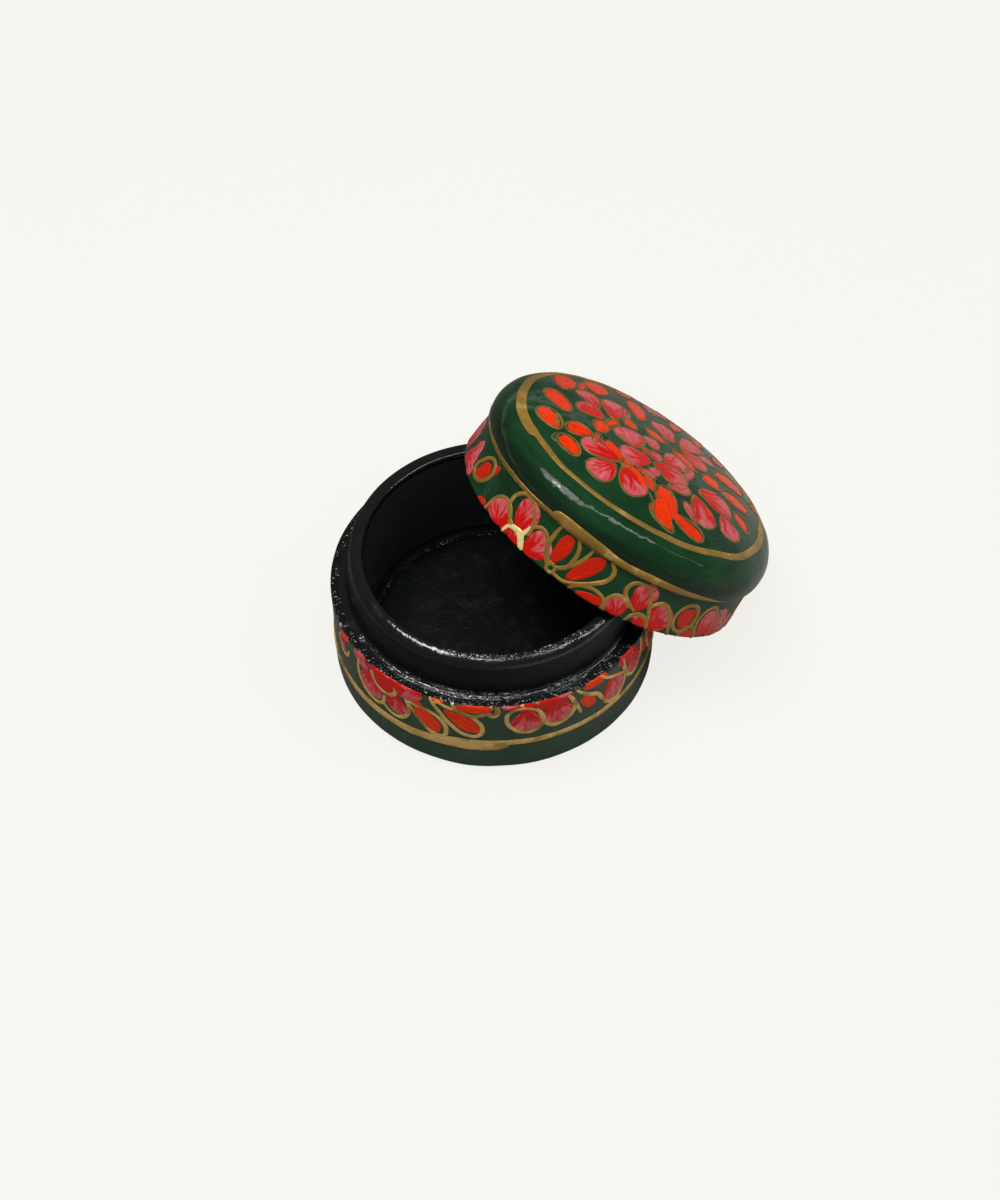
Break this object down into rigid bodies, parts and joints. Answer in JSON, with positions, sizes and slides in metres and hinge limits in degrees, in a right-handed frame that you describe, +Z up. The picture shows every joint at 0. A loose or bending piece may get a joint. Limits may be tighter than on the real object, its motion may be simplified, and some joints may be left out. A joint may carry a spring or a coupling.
{
  "type": "round lidded papier mache box",
  "caption": "Round lacquered papier mache box with a standing collar inside and a domed lift-off lid, shown open with the lid leaning on it.",
  "frame": {"origin": "middle of the underside of the cup, on the surface that the box stands on", "axes": "+Z up along the cup's axis; +X towards the side on which the open lid leans; +Y across, by the right-hand rule"},
  "size_m": [0.0841, 0.06, 0.0467],
  "materials": {
    "cup_lacquer": "gloss",
    "black_lacquer": "gloss",
    "black_card": "gloss",
    "band_lacquer": "gloss",
    "crown_lacquer": "gloss"
  },
  "bodies": {
    "base": {"base_shell": "cup_lacquer", "base_collar": "black_lacquer", "floor_disc": "black_card"},
    "lid": {"lid_band": "band_lacquer", "lid_crown": "crown_lacquer"}
  },
  "joints": [
    {"name": "lid_lift", "type": "slide", "parent": "base", "child": "lid", "axis": [0, 0, 1], "range_m": [0, 0.05]}
  ]
}
